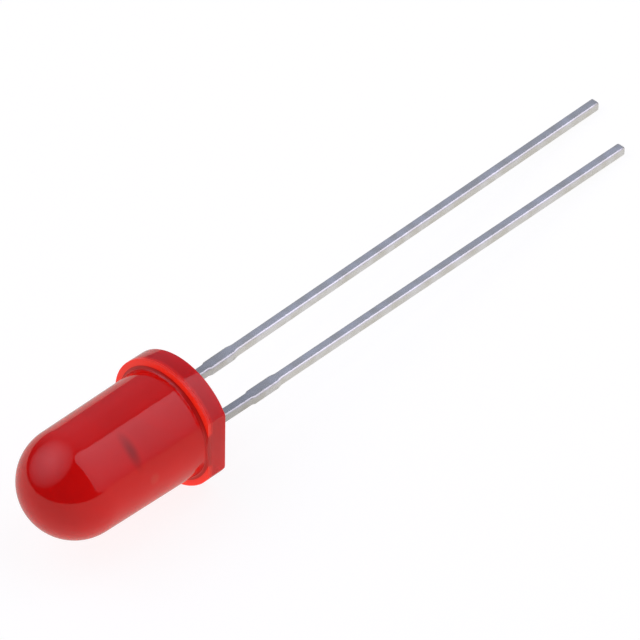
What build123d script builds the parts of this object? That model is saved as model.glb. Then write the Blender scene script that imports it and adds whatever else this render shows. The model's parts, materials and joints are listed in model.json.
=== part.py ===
from build123d import *
import os
from math import cos, radians, sin, sqrt

# A 5 mm through hole LED, in millimetres.
#
# It is modelled in the frame of its mould: the back of the flange is at x = 0, the dome
# points to -X, the leads run to +X side by side along Y with the anode on the +Y side,
# and Z is square to the leads. At the end every piece is laid down together in the rest
# frame, with +Z up, as the LED lies on a table: on the edge of its flange and on both
# lead tips.

# Lens: one moulding of red diffused epoxy
lens_height = 8.6         # from the back of the flange to the top of the dome
barrel_radius = 2.5       # at the flange, which makes it a 5 mm LED
mould_draft = 0.07        # how much smaller the barrel's radius is where the dome starts
flange_overhang = 0.45    # of the flange's rim past the barrel
flange_height = 1.0
flat_overhang = 0.05      # of the flat that marks the cathode, past the barrel
flat_corner_radius = 0.35
flange_edge_radius = 0.06
foot_radius = 0.15        # between the barrel and the front of the flange

# Leads: stamped from steel strip, tinned after moulding
lead_pitch = 2.54
lead_width = 0.45         # the leads are as wide as the strip is thick
lead_corner_radius = 0.1
lead_root = 0.3           # how far the rounded lead reaches into the epoxy
frame_offset = -0.14      # the strip's middle plane, from the lens axis along Z
anode_length = 27.25      # below the back of the flange
cathode_length = 25.85
straight_run = 2.1        # below the flange's back, before the leads start to lean
anode_splay = 0.0271      # sideways run per length past there, towards +Y
cathode_splay = 0.0142
anode_tip_radius = 0.05   # cut square
cathode_tip_radius = 0.13  # worn round
tip_steps = 3

# Stub on each lead, where the bar that tied the strip together was cut away
stub_start = 2.65
stub_rise = 0.15
stub_length = 1.35
stub_fall = 0.25
stub_proud = 0.065        # on each side of the lead

# Lead frame inside the epoxy. Heights are above the back of the flange.
frame_height = 3.8
anvil_foot = 1.3          # where the cathode lead starts to widen
anvil_shoulder = 2.5      # where it has its full width
anvil_outer = 1.05        # from the lens axis to the anvil's outer edge
anvil_inner = 0.5         # past the lens axis, on the anode's side
anvil_corner_radius = 0.12
post_foot = 1.6
post_shoulder = 2.6
post_width = 0.55
post_gap = 0.3            # between the anvil and the post

# Reflector cup, pressed into the top of the anvil on the lens axis
cup_rim_radius = 0.5
cup_root_radius = 0.3
cup_root_depth = 0.8
cup_wall = 0.1
bowl_depth = 0.3

# Chip, the silver epoxy under it, and the gold wire from the chip to the post
die_width = 0.28
die_height = 0.2
die_clearance = 0.03      # from the chip's corners to the bowl's floor edge
attach_overhang = 0.06    # of the silver epoxy past the chip's sides
attach_thickness = 0.03
wire_radius = 0.015
wire_rise = 0.42          # of the loop's top above the chip
ball_radius = 0.05
ball_height = 0.03

dome_radius = barrel_radius - mould_draft
dome_centre = lens_height - dome_radius
flange_radius = barrel_radius + flange_overhang
flat_distance = barrel_radius + flat_overhang
stub_width = lead_width + 2 * stub_proud
stub_end = stub_start + stub_rise + stub_length
bowl_top_radius = cup_rim_radius - cup_wall
bowl_floor_radius = die_width / sqrt(2) + die_clearance
attach_radius = die_width / 2 + attach_overhang
die_seat = frame_height - bowl_depth + attach_thickness
die_top = die_seat + die_height
post_near = anvil_inner + post_gap
wire_end = post_near + post_width / 2


def at(height, y):
    """A point of the lead frame's middle plane, from its height above the flange's back."""
    return Vector(-height, y, frame_offset)


def up_from(height, y):
    """A plane square to the lens axis at that height, facing the dome."""
    return Plane(origin=at(height, y), x_dir=(0, 1, 0), z_dir=(-1, 0, 0))


def lens_body():
    """The epoxy as moulded, before the lead frame takes its room in it."""
    tip = (-lens_height, 0)
    dome_end = (-dome_centre, dome_radius)
    apex_45 = (-dome_centre - dome_radius * cos(radians(45)), dome_radius * sin(radians(45)))
    foot = (-flange_height, barrel_radius)
    half = (
        ThreePointArc(tip, apex_45, dome_end)
        + Line(dome_end, foot)
        + Polyline(foot, (-flange_height, flange_radius), (0, flange_radius), (0, 0), tip)
    )
    body = revolve(make_face(half), Axis.X)

    beyond = flange_radius - flat_distance
    cutter = Box(flange_height, beyond, 2 * flange_radius)
    body -= Pos(-flange_height / 2, -flat_distance - beyond / 2, 0) * cutter

    corners = body.edges().filter_by(Axis.X).group_by(Axis.Y)[0]
    body = fillet(corners, flat_corner_radius)
    body = fillet(body.faces().sort_by(Axis.X)[-1].edges(), flange_edge_radius)
    front = body.faces().filter_by(Plane.YZ).group_by(Axis.X)[0]
    inner_edge = front[0].inner_wires()[0].edges()
    return fillet(inner_edge, foot_radius)


def lead_sections(length, tip_radius):
    """(x, width, thickness) of each section of a lead, from inside the epoxy to its tip."""
    plain, stub = (lead_width, lead_width), (stub_width, lead_width)
    sections = [
        (-lead_root, *plain),
        (straight_run, *plain),
        (stub_start, *plain),
        (stub_start + stub_rise, *stub),
        (stub_end, *stub),
        (stub_end + stub_fall, *plain),
        (length - tip_radius, *plain),
    ]
    for step in range(1, tip_steps + 1):
        angle = radians(90 * step / tip_steps)
        size = lead_width - 2 * tip_radius * (1 - cos(angle))
        sections.append((length - tip_radius * (1 - sin(angle)), size, size))
    return sections


def outer_lead(centre_y, length, splay, tip_radius):
    """The lead below the flange: a rounded square bar with a stub, leaning a little."""
    faces = []
    for x, width, thickness in lead_sections(length, tip_radius):
        y = centre_y + splay * max(x - straight_run, 0)
        rounding = min(lead_corner_radius, 0.45 * min(width, thickness))
        place = Plane(origin=(x, y, frame_offset), x_dir=(0, 1, 0), z_dir=(1, 0, 0))
        faces.append(place * RectangleRounded(width, thickness, rounding))
    return loft(faces, ruled=True)


def strip(points):
    """A stamped blank of the strip, from its outline as (height, y) points."""
    outline = Polyline(*[(-height, y) for height, y in points], close=True)
    blank = extrude(make_face(outline), lead_width / 2, both=True)
    return Pos(0, 0, frame_offset) * blank


def cathode_lead():
    """The lead beside the flat: it widens to an anvil that holds the reflector cup."""
    outer = -(lead_pitch + lead_width) / 2
    inner = outer + lead_width
    anvil = strip([
        (lead_root, outer),
        (lead_root, inner),
        (anvil_foot, inner),
        (anvil_shoulder, anvil_inner),
        (frame_height, anvil_inner),
        (frame_height, -anvil_outer),
        (anvil_shoulder, -anvil_outer),
        (anvil_foot, outer),
    ])
    top = anvil.edges().filter_by(Axis.Z).group_by(Axis.X)[0]
    anvil = fillet(top.sort_by(Axis.Y)[0], anvil_corner_radius)
    cup_middle = frame_height - cup_root_depth / 2
    head = up_from(cup_middle, 0) * Cone(cup_root_radius, cup_rim_radius, cup_root_depth)
    bowl_middle = frame_height - bowl_depth / 2
    bowl = up_from(bowl_middle, 0) * Cone(bowl_floor_radius, bowl_top_radius, bowl_depth)
    leg = outer_lead(-lead_pitch / 2, cathode_length, cathode_splay, cathode_tip_radius)
    return leg + anvil + head - bowl


def anode_lead():
    """The longer lead: inside the epoxy it ends in the post that takes the bond wire."""
    outer = (lead_pitch + lead_width) / 2
    inner = outer - lead_width
    post = strip([
        (lead_root, outer),
        (lead_root, inner),
        (post_foot, inner),
        (post_shoulder, post_near),
        (frame_height, post_near),
        (frame_height, post_near + post_width),
        (post_shoulder, post_near + post_width),
        (post_foot, outer),
    ])
    return outer_lead(lead_pitch / 2, anode_length, anode_splay, anode_tip_radius) + post


def die_attach():
    """The pad of silver epoxy that glues the chip into the cup."""
    middle = die_seat - attach_thickness / 2
    return up_from(middle, 0) * Cylinder(attach_radius, attach_thickness)


def led_die():
    """The chip, a small block of semiconductor."""
    return up_from(die_seat + die_height / 2, 0) * Box(die_width, die_width, die_height)


def bond_wire(chip, post):
    """Gold wire: a ball on the chip, one loop, and a stitch on top of the post."""
    ball = up_from(die_top + ball_height / 2, 0) * Cylinder(ball_radius, ball_height)
    stitch_middle = frame_height + ball_height / 2
    stitch = up_from(stitch_middle, wire_end) * Cylinder(ball_radius, ball_height)
    start = at(die_top + wire_radius, 0)
    finish = at(frame_height + wire_radius, wire_end)
    loop = ThreePointArc(start, at(die_top + wire_rise, wire_end / 2), finish)
    section = Plane(origin=loop @ 0, z_dir=loop % 0) * Circle(wire_radius)
    return sweep(section, loop) + ball + stitch - chip - post


def rest_plane():
    """The table under the LED, in the frame of the mould.

    Its normal is square to the line between the lead tips' lowest corners, and puts the
    flange's back edge at their level: n.tip = -flange_radius * |(ny, nz)|, with
    n = (slope, roll * slope, 1) before it is scaled to length 1.
    """
    tip_z = frame_offset - lead_width / 2
    half_flat = lead_width / 2 - lead_corner_radius
    anode_x = anode_length - anode_tip_radius
    anode_y = lead_pitch / 2 + anode_splay * (anode_x - straight_run) - half_flat
    cathode_x = cathode_length - cathode_tip_radius
    cathode_y = -lead_pitch / 2 + cathode_splay * (cathode_x - straight_run) - half_flat
    roll = -(anode_x - cathode_x) / (anode_y - cathode_y)
    reach = cathode_x + roll * cathode_y
    a = reach**2 - (flange_radius * roll) ** 2
    b = reach * tip_z
    c = tip_z**2 - flange_radius**2
    slope = (-b - sqrt(b**2 - a * c)) / a
    normal = Vector(slope, roll * slope, 1).normalized()
    along = (Vector(1, 0, 0) - normal * normal.X).normalized()
    return Plane(origin=(0, 0, 0), x_dir=along, z_dir=normal)


def build():
    """Every node in the frame of the mould."""
    cathode, anode = cathode_lead(), anode_lead()
    attach, die = die_attach(), led_die()
    wire = bond_wire(die, anode)
    held = [cathode, anode, attach, die, wire]
    return {
        "lens": lens_body() - held,
        "cathode_lead": cathode,
        "anode_lead": anode,
        "die_attach": attach,
        "led_die": die,
        "bond_wire": wire,
    }


def rest_location(nodes):
    """Where the mould's frame lies once the LED rests with its box centred on the origin."""
    table = rest_plane()
    laid = [table.to_local_coords(nodes[name]) for name in ("lens", "cathode_lead", "anode_lead")]
    box = Compound(children=laid).bounding_box()
    foot = Vector(box.center().X, box.center().Y, box.min.Z)
    return Pos(-foot) * table.location.inverse()


def main():
    nodes = build()
    rest = rest_location(nodes)
    os.makedirs("parts", exist_ok=True)
    for name, shape in nodes.items():
        export_step(rest * shape, f"parts/{name}.step")


if __name__ == "__main__":
    main()
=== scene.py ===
"""A 5 mm red LED with a diffused lens, lying on a white table.

The file follows the LED as it is put together: the stamped leads, the chip with its glue
and wire, the lens moulded round them, and then the table, the lights and the camera.
Sizes are in millimetres in the frame of the mould, where the back of the flange is at
x = 0, the dome points to -X and the leads run to +X; each finished mesh is then laid down
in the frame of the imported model, in metres.
"""

import json
from math import acos, cos, pi, radians, sin, tan

import bmesh
import bpy
from mathutils import Matrix, Vector


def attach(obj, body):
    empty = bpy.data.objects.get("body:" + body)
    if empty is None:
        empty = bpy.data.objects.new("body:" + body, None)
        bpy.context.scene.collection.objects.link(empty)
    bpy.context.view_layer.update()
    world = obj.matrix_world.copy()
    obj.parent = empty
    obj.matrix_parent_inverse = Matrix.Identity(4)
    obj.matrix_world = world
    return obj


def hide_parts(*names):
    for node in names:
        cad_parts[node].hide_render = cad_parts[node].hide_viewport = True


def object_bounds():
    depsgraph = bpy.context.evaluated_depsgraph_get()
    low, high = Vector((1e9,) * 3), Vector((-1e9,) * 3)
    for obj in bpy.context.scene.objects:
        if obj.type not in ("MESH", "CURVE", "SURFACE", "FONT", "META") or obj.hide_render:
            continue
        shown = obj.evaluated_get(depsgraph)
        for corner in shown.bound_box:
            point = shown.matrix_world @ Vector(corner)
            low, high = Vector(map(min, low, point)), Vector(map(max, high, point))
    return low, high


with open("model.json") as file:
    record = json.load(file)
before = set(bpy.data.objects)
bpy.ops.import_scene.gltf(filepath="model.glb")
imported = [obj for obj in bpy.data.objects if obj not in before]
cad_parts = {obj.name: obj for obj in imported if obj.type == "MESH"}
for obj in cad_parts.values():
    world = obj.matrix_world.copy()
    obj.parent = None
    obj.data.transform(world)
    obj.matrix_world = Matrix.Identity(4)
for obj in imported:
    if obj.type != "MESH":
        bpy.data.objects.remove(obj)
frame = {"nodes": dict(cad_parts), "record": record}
cad_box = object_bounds()

# How the LED lies. The mould's frame comes from the record's mounts: the barrel's axis,
# the seating face on the back of the flange, and the plane of the two leads.
mounts = {mount["name"]: mount for mount in frame["record"]["mounts"]}
toward_tips = -Vector(mounts["barrel"]["axis"])
seat = Vector(mounts["seating_face"]["pos_m"])
barrel_foot = Vector(mounts["barrel"]["pos_m"])
mould_origin = barrel_foot + toward_tips * (seat - barrel_foot).dot(toward_tips)
off_leads = (seat - mould_origin).normalized()
across_leads = off_leads.cross(toward_tips)
turned = Matrix((toward_tips, across_leads, off_leads)).transposed()
laid_down = Matrix.Translation(mould_origin) @ turned.to_4x4() @ Matrix.Scale(0.001, 4)
pitch = mounts["lead_pair"]["dims"]["spacing_x_mm"]
strip_plane = (Vector(mounts["lead_pair"]["pos_m"]) - mould_origin).dot(off_leads) * 1000


def finished(bm, name, material, smooth_angle=35):
    """A piece at the origin from a bmesh in the mould's millimetres."""
    bmesh.ops.remove_doubles(bm, verts=bm.verts, dist=1e-5)
    bmesh.ops.recalc_face_normals(bm, faces=bm.faces)
    bm.transform(laid_down)
    for face in bm.faces:
        face.smooth = True
    for edge in bm.edges:
        if len(edge.link_faces) == 2 and edge.calc_face_angle() > radians(smooth_angle):
            edge.smooth = False
    mesh = bpy.data.meshes.new(name)
    bm.to_mesh(mesh)
    bm.free()
    mesh.materials.append(material)
    piece = bpy.data.objects.new(name, mesh)
    bpy.context.scene.collection.objects.link(piece)
    return piece


def linear(hex_colour):
    """A linear colour from an sRGB hex value."""
    parts = [int(hex_colour[i:i + 2], 16) / 255 for i in (0, 2, 4)]
    parts = [c / 12.92 if c <= 0.04045 else ((c + 0.055) / 1.055) ** 2.4 for c in parts]
    return (*parts, 1)


def add(tree, kind, inputs=(), **settings):
    """One node, with its settings and with a value or a link for each input named."""
    node = tree.nodes.new(kind)
    for key, value in settings.items():
        setattr(node, key, value)
    for socket, value in dict(inputs).items():
        if isinstance(value, bpy.types.NodeSocket):
            tree.links.new(value, node.inputs[socket])
        else:
            node.inputs[socket].default_value = value
    return node


def new_material(name):
    """A material with a Principled shader, and its tree."""
    material = bpy.data.materials.new(name)
    material.use_nodes = True
    tree = material.node_tree
    return material, tree, tree.nodes["Principled BSDF"]


def mould_millimetres(tree):
    """Object coordinates turned back into the mould's frame, in millimetres."""
    back = turned.transposed()
    coordinates = add(tree, "ShaderNodeTexCoord").outputs["Object"]
    mapping = add(tree, "ShaderNodeMapping", {
        "Vector": coordinates,
        "Location": back @ mould_origin * -1000,
        "Rotation": back.to_euler(),
        "Scale": (1000, 1000, 1000),
    })
    return mapping.outputs["Vector"]


# The leads: two bars stamped from 0.45 mm steel strip and dipped in tin, which rounds
# their corners. Each keeps a stub where the bar that tied the strip together was cut off,
# and inside the epoxy the cathode widens to an anvil and the anode ends in a post.
lead_width = 0.45
lead_corner = 0.1
lead_root = 0.3
straight_run = 2.1
stub_sections = ((2.65, 0), (2.8, 1), (4.15, 1), (4.4, 0))
stub_proud = 0.065
station_step = 0.45
frame_top = 3.8


def tinned_steel():
    """Tin over cold-rolled steel: bright, a little blurred, with drag lines and nicks, and a
    painted shade toward the lens.
    """
    material, tree, shader = new_material("tinned_steel")
    place = mould_millimetres(tree)
    drag = add(tree, "ShaderNodeMapping", {"Vector": place, "Scale": (0.5, 14, 14)})
    lines = add(tree, "ShaderNodeTexNoise", {
        "Vector": drag.outputs["Vector"], "Scale": 1.0, "Detail": 4.0, "Roughness": 0.6,
    })
    grains = add(tree, "ShaderNodeTexNoise", {
        "Vector": place, "Scale": 9.0, "Detail": 3.0, "Roughness": 0.55,
    })
    waves = add(tree, "ShaderNodeTexNoise", {
        "Vector": place, "Scale": 1.4, "Detail": 2.0, "Roughness": 0.5,
    })
    tint = add(tree, "ShaderNodeValToRGB", {"Fac": waves.outputs["Fac"]})
    tint.color_ramp.elements[0].position = 0.35
    tint.color_ramp.elements[0].color = linear("ECEAE6")
    tint.color_ramp.elements[1].position = 0.65
    tint.color_ramp.elements[1].color = linear("FBFBFF")
    blur = add(tree, "ShaderNodeMapRange", {
        "Value": grains.outputs["Fac"], "To Min": 0.2, "To Max": 0.36,
    })
    bump = add(tree, "ShaderNodeBump", {
        "Height": lines.outputs["Fac"], "Strength": 0.08, "Distance": 0.00002,
    })
    pits = add(tree, "ShaderNodeBump", {
        "Height": grains.outputs["Fac"], "Strength": 0.22, "Distance": 0.00004,
        "Normal": bump.outputs["Normal"],
    })
    below = add(tree, "ShaderNodeSeparateXYZ", {"Vector": place})
    # Painted shade: the tin's colour is darkened toward the lens, standing in for the dark lens
    # that the tin mirrors there.
    painted_shade_near_lens = add(tree, "ShaderNodeMapRange", {
        "Value": below.outputs["X"], "From Min": 2.2, "From Max": 4.6, "To Min": 0.7,
    })
    bright = add(tree, "ShaderNodeVectorMath", {
        0: tint.outputs["Color"], "Scale": painted_shade_near_lens.outputs["Result"],
    }, operation="SCALE")
    shader.inputs["Metallic"].default_value = 1.0
    tree.links.new(bright.outputs["Vector"], shader.inputs["Base Color"])
    tree.links.new(blur.outputs["Result"], shader.inputs["Roughness"])
    tree.links.new(pits.outputs["Normal"], shader.inputs["Normal"])
    return material


def stations(length, splay, tip_radius, tip_steps=5):
    """(x, sideways shift, width, thickness) of a lead's sections from root to tip."""
    found = [(x, 0, lead_width, lead_width) for x in (-lead_root, 0, straight_run)]
    found += [
        (x, splay * (x - straight_run), lead_width + 2 * stub_proud * raised, lead_width)
        for x, raised in stub_sections
    ]
    start = stub_sections[-1][0]
    count = int((length - tip_radius - start) / station_step)
    for i in range(1, count + 1):
        x = start + (length - tip_radius - start) * i / count
        found.append((x, splay * (x - straight_run), lead_width, lead_width))
    for i in range(1, tip_steps + 1):
        angle = radians(90 * i / tip_steps)
        x = length - tip_radius * (1 - sin(angle))
        size = lead_width - 2 * tip_radius * (1 - cos(angle))
        found.append((x, splay * (x - straight_run), size, size))
    return found


def add_bar(bm, centre_y, sections, corner_segments=6):
    """Extrudes a rounded square through a lead's sections."""
    x, shift, width, thickness = sections[0]
    centre = Vector((x, centre_y + shift, strip_plane))
    corners = [
        bm.verts.new(centre + Vector((0, y * width / 2, z * thickness / 2)))
        for y, z in ((-1, -1), (1, -1), (1, 1), (-1, 1))
    ]
    bm.faces.new(corners)
    bmesh.ops.bevel(
        bm, geom=corners, offset=lead_corner, segments=corner_segments, profile=0.5,
        affect="VERTICES", material=-1,
    )
    bm.faces.ensure_lookup_table()
    face = bm.faces[-1]
    for x, shift, new_width, new_thickness in sections[1:]:
        ring = bmesh.ops.extrude_face_region(bm, geom=[face], use_keep_orig=len(bm.faces) == 1)
        moved = [v for v in ring["geom"] if isinstance(v, bmesh.types.BMVert)]
        face = next(f for f in ring["geom"] if isinstance(f, bmesh.types.BMFace))
        new_centre = Vector((x, centre_y + shift, strip_plane))
        stretch = Matrix.Diagonal((1, new_width / width, new_thickness / thickness, 1))
        step = Matrix.Translation(new_centre) @ stretch @ Matrix.Translation(-centre)
        bmesh.ops.transform(bm, matrix=step, verts=moved)
        centre, width, thickness = new_centre, new_width, new_thickness


def add_blank(bm, outline):
    """Stamps a plate of the strip from its outline, as (height above the flange, y) points."""
    low = [
        bm.verts.new((-height, y, strip_plane - lead_width / 2)) for height, y in outline
    ]
    plate = bm.faces.new(low)
    raised = bmesh.ops.extrude_face_region(bm, geom=[plate], use_keep_orig=True)
    top = [v for v in raised["geom"] if isinstance(v, bmesh.types.BMVert)]
    bmesh.ops.translate(bm, verts=top, vec=(0, 0, lead_width))


tin = tinned_steel()

# The cathode's lead: the shorter one, beside the flat. Its anvil carries the pressed cup.
cathode_length = 25.85
cathode_splay = 0.0142
cathode_tip = 0.13
cup_heights = (3.0, 3.8, 3.8, 3.5)
cup_radii = (0.3, 0.5, 0.4, 0.228)

cathode_bm = bmesh.new()
add_bar(cathode_bm, -pitch / 2, stations(cathode_length, cathode_splay, cathode_tip))
outer = -(pitch + lead_width) / 2
add_blank(cathode_bm, [
    (lead_root, outer), (lead_root, outer + lead_width), (1.3, outer + lead_width),
    (2.5, 0.5), (frame_top, 0.5), (frame_top, 0.4), (3.5, 0.228), (3.5, -0.228),
    (frame_top, -0.4), (frame_top, -1.05), (2.5, -1.05), (1.3, outer),
])
rim = [
    cathode_bm.verts.new((-height, radius, strip_plane))
    for height, radius in zip(cup_heights, cup_radii)
]
floor_middle = cathode_bm.verts.new((-cup_heights[-1], 0, strip_plane))
root_middle = cathode_bm.verts.new((-cup_heights[0], 0, strip_plane))
profile = [root_middle, *rim, floor_middle]
edges = [cathode_bm.edges.new(pair) for pair in zip(profile, profile[1:])]
bmesh.ops.spin(
    cathode_bm, geom=profile + edges, cent=(0, 0, strip_plane), axis=(1, 0, 0),
    angle=2 * pi, steps=40, use_merge=True,
)
cathode = finished(cathode_bm, "cathode_lead_tinned", tin)
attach(cathode, "root")
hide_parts("cathode_lead")

# The anode's lead: the longer one. Its post takes the bond wire.
anode_length = 27.25
anode_splay = 0.0271
anode_tip = 0.05

anode_bm = bmesh.new()
add_bar(anode_bm, pitch / 2, stations(anode_length, anode_splay, anode_tip))
outer = (pitch + lead_width) / 2
add_blank(anode_bm, [
    (lead_root, outer), (lead_root, outer - lead_width), (1.6, outer - lead_width),
    (2.6, 0.8), (frame_top, 0.8), (frame_top, 1.35), (2.6, 1.35), (1.6, outer),
])
anode = finished(anode_bm, "anode_lead_tinned", tin)
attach(anode, "root")
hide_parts("anode_lead")


# The chip, its pad of silver epoxy and the gold wire keep their modelled shapes. They are
# sealed in the lens and show only as faint shades through it.
def sealed_material(name, hex_low, hex_high, grain_mm, metallic, roughness):
    """A grained finish between two colours, for the small pieces inside the lens."""
    material, tree, shader = new_material(name)
    grain = add(tree, "ShaderNodeTexNoise", {
        "Vector": mould_millimetres(tree), "Scale": 1 / grain_mm, "Detail": 3.0,
    })
    ramp = add(tree, "ShaderNodeValToRGB", {"Fac": grain.outputs["Fac"]})
    ramp.color_ramp.elements[0].color = linear(hex_low)
    ramp.color_ramp.elements[1].color = linear(hex_high)
    tree.links.new(ramp.outputs["Color"], shader.inputs["Base Color"])
    shader.inputs["Metallic"].default_value = metallic
    shader.inputs["Roughness"].default_value = roughness
    return material


sealed = {
    "die_attach": sealed_material("silver_epoxy", "9A9A98", "C4C4C0", 0.03, 0.6, 0.5),
    "led_die": sealed_material("semiconductor", "3A2E1C", "5A4A2C", 0.08, 0.0, 0.3),
    "bond_wire": sealed_material("drawn_gold", "D8A848", "F0C868", 0.05, 1.0, 0.2),
}
for node, material in sealed.items():
    slots = frame["nodes"][node].material_slots
    for slot in slots:
        slot.material = material

# The lens: red epoxy with a white diffuser in it, cast round the lead frame in one shot.
# The mould is polished, so its skin is glossy. Light and shade are painted into its colour:
# a painted shade in the dark streak over the lead frame, a painted highlight in the light
# spot by the cup, and a painted weak glow on the flange's front, where the thin flange pipes
# light through from the sheet, with a painted dark band by the barrel's foot; the dome and
# the flange's side and back are painted in darker reds.
lens_height = 8.6
barrel_radius = 2.5
dome_radius = 2.43
dome_centre = lens_height - dome_radius
flange_radius = 2.95
flange_height = 1.0
flat_distance = 2.55
flat_corner = 0.35
edge_radius = 0.06
foot_radius = 0.15
front_edge = 0.02
front_glow_and_shade_colours = ((0.0, "A80602"), (0.32, "B80A04"), (0.44, "FF301A"), (0.9, "FF2C18"))
frame_shade_x = -4.58
shade_half_width = 0.36
shade_half_length = 1.1
shade_strength = 0.5
cup_glint = (-3.95, -2.44, 0.30)
glint_radius = 0.34
glint_strength = 0.6
flange_glow = 0.32
rim_shade_colour = "E00E16"
dome_shade_colour = "E80806"
turns = 144


def arc(centre_x, centre_r, radius, start, end, steps):
    """Points (x, r) along an arc, between two angles in degrees measured from +X."""
    angles = [radians(start + (end - start) * i / steps) for i in range(steps + 1)]
    return [(centre_x + radius * cos(a), centre_r + radius * sin(a)) for a in angles]


def lens_profile():
    """Half the lens's outline as (x, r) points, from the dome's top to the flange's back."""
    points = arc(-dome_centre, 0, dome_radius, 180, 90, 36)
    for i in range(1, 24):
        share = i / 24
        x = -dome_centre + share * (dome_centre - flange_height - foot_radius)
        points.append((x, dome_radius + share * (barrel_radius - dome_radius)))
    foot = (-flange_height - foot_radius, barrel_radius + foot_radius)
    points += arc(*foot, foot_radius, 270, 360, 6)
    front = (-flange_height + front_edge, flange_radius - front_edge)
    points += arc(*front, front_edge, 180, 90, 3)
    points += arc(-edge_radius, flange_radius - edge_radius, edge_radius, 90, 0, 5)
    points.append((0, barrel_radius * 0.7))
    points.append((0, 0))
    return points


def diffused_epoxy():
    """Red casting epoxy with a fine white filler: a glossy skin over a cloudy inside, with
    painted shade, highlight and glow in its colour.
    """
    material, tree, shader = new_material("red_diffused_epoxy")
    place = mould_millimetres(tree)
    cloud = add(tree, "ShaderNodeTexNoise", {
        "Vector": place, "Scale": 0.5, "Detail": 2.0, "Roughness": 0.5,
    })
    body = add(tree, "ShaderNodeValToRGB", {"Fac": cloud.outputs["Fac"]})
    body.color_ramp.elements[0].position = 0.3
    body.color_ramp.elements[0].color = linear("FC0B07")
    body.color_ramp.elements[1].position = 0.7
    body.color_ramp.elements[1].color = linear("FF100A")
    axes = add(tree, "ShaderNodeSeparateXYZ", {"Vector": place})
    off_axis = add(tree, "ShaderNodeVectorMath", {
        0: add(tree, "ShaderNodeCombineXYZ", {
            "Y": axes.outputs["Y"], "Z": axes.outputs["Z"],
        }).outputs["Vector"],
    }, operation="LENGTH")
    reach = add(tree, "ShaderNodeMapRange", {
        "Value": off_axis.outputs["Value"], "From Min": 2.5, "From Max": 3.0,
    })
    # Painted shade and glow on the flange's front: a dark red band painted by the barrel's
    # foot, where the barrel shades it, and a bright orange ring painted further out, where
    # light comes through the thin flange.
    ring = add(tree, "ShaderNodeValToRGB", {"Fac": reach.outputs["Result"]})
    for i, (position, colour) in enumerate(front_glow_and_shade_colours):
        if i > 1:
            ring.color_ramp.elements.new(position)
        ring.color_ramp.elements[i].position = position
        ring.color_ramp.elements[i].color = linear(colour)
    on_front = add(tree, "ShaderNodeMapRange", {
        "Value": axes.outputs["X"], "From Min": -flange_height - foot_radius,
        "From Max": -flange_height,
    })
    on_rim = add(tree, "ShaderNodeMapRange", {
        "Value": axes.outputs["X"], "From Min": -flange_height, "From Max": -0.7,
    })
    in_dome = add(tree, "ShaderNodeMapRange", {
        "Value": axes.outputs["X"], "From Min": -dome_centre + 0.4, "From Max": -lens_height,
    }, interpolation_type="SMOOTHSTEP")
    # Painted shade: the dome is given a darker red than the barrel, darkening toward its tip,
    # though it is the same epoxy.
    skin = add(tree, "ShaderNodeMix", {
        "Factor": in_dome.outputs["Result"], 6: body.outputs["Color"], 7: linear(dome_shade_colour),
    }, data_type="RGBA")
    skin = add(tree, "ShaderNodeMix", {
        "Factor": on_front.outputs["Result"], 6: skin.outputs[2],
        7: ring.outputs["Color"],
    }, data_type="RGBA")
    # Painted shade: the flange's side and back are given a darker, bluer red than the barrel,
    # though they are the same epoxy.
    skin = add(tree, "ShaderNodeMix", {
        "Factor": on_rim.outputs["Result"], 6: skin.outputs[2],
        7: linear(rim_shade_colour),
    }, data_type="RGBA")
    # Painted shade: a dark streak where the lead frame's top shows through the cloudy epoxy.
    along_top = add(tree, "ShaderNodeVectorMath", {
        0: place, 1: (0, -0.719, -0.695),
    }, operation="DOT_PRODUCT")
    outward = add(tree, "ShaderNodeVectorMath", {
        0: place, 1: (0, -0.695, 0.719),
    }, operation="DOT_PRODUCT")
    shade_place = add(tree, "ShaderNodeCombineXYZ", {
        "X": add(tree, "ShaderNodeMath", {
            0: axes.outputs["X"], 1: 1 / shade_half_width,
            2: -frame_shade_x / shade_half_width,
        }, operation="MULTIPLY_ADD").outputs[0],
        "Y": add(tree, "ShaderNodeMath", {
            0: along_top.outputs["Value"], 1: 1 / shade_half_length,
        }, operation="MULTIPLY").outputs[0],
        "Z": add(tree, "ShaderNodeMath", {
            0: outward.outputs["Value"], 1: 0.5, 2: -0.5 * barrel_radius,
        }, operation="MULTIPLY_ADD").outputs[0],
    })
    shade = add(tree, "ShaderNodeMapRange", {
        "Value": add(tree, "ShaderNodeVectorMath", {
            0: shade_place.outputs["Vector"],
        }, operation="LENGTH").outputs["Value"], "From Min": 1.1, "From Max": 0.0,
        "To Max": shade_strength,
    }, interpolation_type="SMOOTHSTEP")
    skin = add(tree, "ShaderNodeMix", {
        "Factor": shade.outputs["Result"], 6: skin.outputs[2], 7: linear("5A0A10"),
    }, data_type="RGBA")
    # Painted highlight: a light spot where the cup glints through the epoxy.
    glint = add(tree, "ShaderNodeMapRange", {
        "Value": add(tree, "ShaderNodeVectorMath", {
            0: place, 1: cup_glint,
        }, operation="DISTANCE").outputs["Value"], "From Min": glint_radius,
        "From Max": 0.1, "To Max": glint_strength,
    }, interpolation_type="SMOOTHSTEP")
    skin = add(tree, "ShaderNodeMix", {
        "Factor": glint.outputs["Result"], 6: skin.outputs[2], 7: linear("FF4838"),
    }, data_type="RGBA")
    tree.links.new(skin.outputs[2], shader.inputs["Base Color"])
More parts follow.
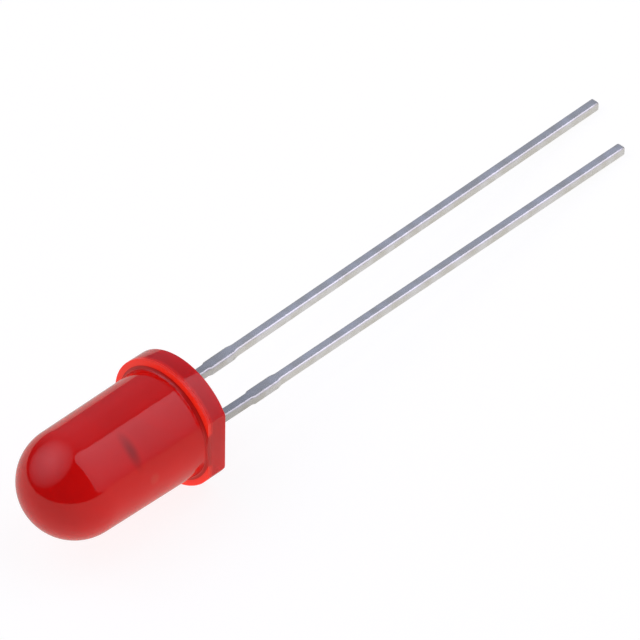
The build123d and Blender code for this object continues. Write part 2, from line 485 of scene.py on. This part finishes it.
    # Painted glow: the flange's front gives off light in the ring's colours, though it is no
    # lamp.
    tree.links.new(ring.outputs["Color"], shader.inputs["Emission Color"])
    front_only = add(tree, "ShaderNodeMath", {
        0: on_front.outputs["Result"], 1: on_rim.outputs["Result"],
    }, operation="SUBTRACT")
    blur = add(tree, "ShaderNodeMapRange", {
        "Value": front_only.outputs[0], "To Min": 0.06, "To Max": 0.45,
    })
    tree.links.new(blur.outputs["Result"], shader.inputs["Roughness"])
    piped = add(tree, "ShaderNodeMath", {
        0: front_only.outputs[0], 1: flange_glow,
    }, operation="MULTIPLY")
    tree.links.new(piped.outputs[0], shader.inputs["Emission Strength"])
    shader.inputs["IOR"].default_value = 1.5
    shader.inputs["Subsurface Weight"].default_value = 1.0
    shader.inputs["Subsurface Radius"].default_value = (1.0, 0.14, 0.08)
    shader.inputs["Subsurface Scale"].default_value = 0.0016
    shader.inputs["Transmission Weight"].default_value = 0.25
    return material


lens_bm = bmesh.new()
outline = [lens_bm.verts.new((x, r, 0)) for x, r in lens_profile()]
edges = [lens_bm.edges.new(pair) for pair in zip(outline, outline[1:])]
bmesh.ops.spin(
    lens_bm, geom=outline + edges, cent=(0, 0, 0), axis=(1, 0, 0),
    angle=2 * pi, steps=turns, use_merge=True,
)
bmesh.ops.remove_doubles(lens_bm, verts=lens_bm.verts, dist=1e-5)
cut = bmesh.ops.bisect_plane(
    lens_bm, geom=lens_bm.verts[:] + lens_bm.edges[:] + lens_bm.faces[:],
    plane_co=(0, -flat_distance, 0), plane_no=(0, -1, 0), clear_outer=True,
)
rim_edges = [e for e in cut["geom_cut"] if isinstance(e, bmesh.types.BMEdge)]
bmesh.ops.contextual_create(lens_bm, geom=rim_edges)
corners = [e for e in rim_edges if abs(e.verts[0].co.x - e.verts[1].co.x) > 0.5]
meeting = acos(flat_distance / flange_radius)
bmesh.ops.bevel(
    lens_bm, geom=corners, offset=flat_corner * tan(meeting / 2), segments=5, profile=0.5,
    affect="EDGES", material=-1,
)
lens = finished(lens_bm, "lens_moulding", diffused_epoxy(), smooth_angle=25)
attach(lens, "root")
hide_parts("lens")

# The table: a white sheet. Most of what shows is a glow of its own, which keeps it white,
# and the rest is its lit surface, which keeps the LED's shadow. The gloss on the LED
# mirrors the glow dimmer and warmer than the camera sees it.
table_size = 6.0
table_bm = bmesh.new()
bmesh.ops.create_grid(table_bm, x_segments=1, y_segments=1, size=table_size / 2)
table_mesh = bpy.data.meshes.new("table")
table_bm.to_mesh(table_mesh)
table_bm.free()
table = bpy.data.objects.new("table", table_mesh)
bpy.context.scene.collection.objects.link(table)
paper = bpy.data.materials.new("white_sheet")
paper.use_nodes = True
tree = paper.node_tree
tree.nodes.clear()
rays = add(tree, "ShaderNodeLightPath")
tone = add(tree, "ShaderNodeMix", {
    "Factor": rays.outputs["Is Glossy Ray"], 6: (1.17, 1.17, 1.17, 1), 7: (0.68, 0.665, 0.6, 1),
}, data_type="RGBA")
sheet = add(tree, "ShaderNodeBsdfDiffuse", {"Color": (0.8, 0.8, 0.8, 1)})
glow = add(tree, "ShaderNodeEmission", {"Color": tone.outputs[2], "Strength": 1.0})
both = add(tree, "ShaderNodeMixShader", {
    0: 0.75, 1: sheet.outputs[0], 2: glow.outputs[0],
})
add(tree, "ShaderNodeOutputMaterial", {"Surface": both.outputs[0]})
table_mesh.materials.append(paper)

# The lights, as the gloss shows them: a long soft box on the cathode's side that leans from
# the horizon to overhead and is brightest at its top edge, and a round one on the anode's
# side. Both hang in a dark room with a pale blue wall past the lead tips.
studio_reach = 0.3


def soft_light(name, width, height, rounding, place, hot, fade, high, low):
    """A lit sheet with round corners, fading from high at the hot point to low."""
    light_bm = bmesh.new()
    bmesh.ops.create_grid(light_bm, x_segments=1, y_segments=1, size=0.5)
    bmesh.ops.scale(light_bm, verts=light_bm.verts, vec=(width, height, 1))
    bmesh.ops.bevel(
        light_bm, geom=light_bm.verts[:], offset=rounding, segments=16, profile=0.5,
        affect="VERTICES", material=-1,
    )
    light_bm.transform(place)
    mesh = bpy.data.meshes.new(name)
    light_bm.to_mesh(mesh)
    light_bm.free()
    material = bpy.data.materials.new(name)
    material.use_nodes = True
    tree = material.node_tree
    tree.nodes.clear()
    away = add(tree, "ShaderNodeVectorMath", {
        0: add(tree, "ShaderNodeTexCoord").outputs["Object"], 1: hot,
    }, operation="DISTANCE")
    glow = add(tree, "ShaderNodeMapRange", {
        "Value": away.outputs["Value"], "From Max": fade, "To Min": high, "To Max": low,
    })
    lit = add(tree, "ShaderNodeEmission", {
        "Color": (0.96, 0.92, 1.08, 1), "Strength": glow.outputs["Result"],
    })
    add(tree, "ShaderNodeOutputMaterial", {"Surface": lit.outputs[0]})
    mesh.materials.append(material)
    sheet = bpy.data.objects.new(name, mesh)
    sheet.visible_camera = False
    bpy.context.scene.collection.objects.link(sheet)


leaning = Matrix.Translation((0.245, -0.15, 0.15)) @ Matrix.Rotation(radians(45), 4, "X")
soft_light("soft_box_long", 0.53, 0.41, 0.09, leaning, (0.14, -0.02, 0.28), 0.42, 1.5, 0.4)
toward = Vector((-0.42, 0.50, 0.757))
facing = toward.to_track_quat("Z", "Y").to_matrix().to_4x4()
disc = 2 * studio_reach * tan(radians(44))
soft_light(
    "soft_box_round", disc, disc, disc / 2 - 0.001,
    Matrix.Translation(toward * studio_reach) @ facing, (-0.11, 0.145, 0.24), 0.35, 1.6, 0.0,
)

world = bpy.data.worlds.new("studio")
bpy.context.scene.world = world
world.use_nodes = True
tree = world.node_tree
tree.nodes.clear()
rays = add(tree, "ShaderNodeLightPath")
wall = add(tree, "ShaderNodeVectorMath", {
    0: add(tree, "ShaderNodeTexCoord").outputs["Generated"], 1: (0.61, 0.49, 0.62),
}, operation="DOT_PRODUCT")
wall = add(tree, "ShaderNodeMapRange", {
    "Value": wall.outputs["Value"], "From Min": 0.6, "From Max": 0.97,
})
shade = add(tree, "ShaderNodeMix", {
    "Factor": wall.outputs["Result"], 6: (0.07, 0.07, 0.08, 1), 7: (0.31, 0.335, 0.41, 1),
}, data_type="RGBA")
dim = add(tree, "ShaderNodeBackground", {"Color": shade.outputs[2], "Strength": 1.0})
white = add(tree, "ShaderNodeBackground", {"Color": (1, 1, 1, 1), "Strength": 1.0})
room = add(tree, "ShaderNodeMixShader", {
    0: rays.outputs["Is Camera Ray"], 1: dim.outputs[0], 2: white.outputs[0],
})
add(tree, "ShaderNodeOutputWorld", {"Surface": room.outputs[0]})

# The camera looks down past the dome along the leads, a little rolled, with a long lens.
view_azimuth = -40.93
view_elevation = 42.39
view_roll = -6.96
view_distance = 0.3
focal_length = 407.4
aim_from_centre = Vector((-3.28, -2.62, 2.22)) * 0.001

low, high = cad_box
aim = (Vector(low) + Vector(high)) / 2 + aim_from_centre
camera_data = bpy.data.cameras.new("camera")
camera_data.lens = focal_length
camera_data.sensor_width = 36
camera_data.clip_start = 0.01
camera = bpy.data.objects.new("camera", camera_data)
turn = (
    Matrix.Rotation(radians(view_azimuth), 4, "Z")
    @ Matrix.Rotation(radians(90 - view_elevation), 4, "X")
    @ Matrix.Rotation(radians(view_roll), 4, "Z")
)
camera.matrix_world = Matrix.Translation(aim) @ turn @ Matrix.Translation((0, 0, view_distance))
bpy.context.scene.collection.objects.link(camera)
bpy.context.scene.camera = camera
bpy.context.scene.view_settings.view_transform = "Standard"
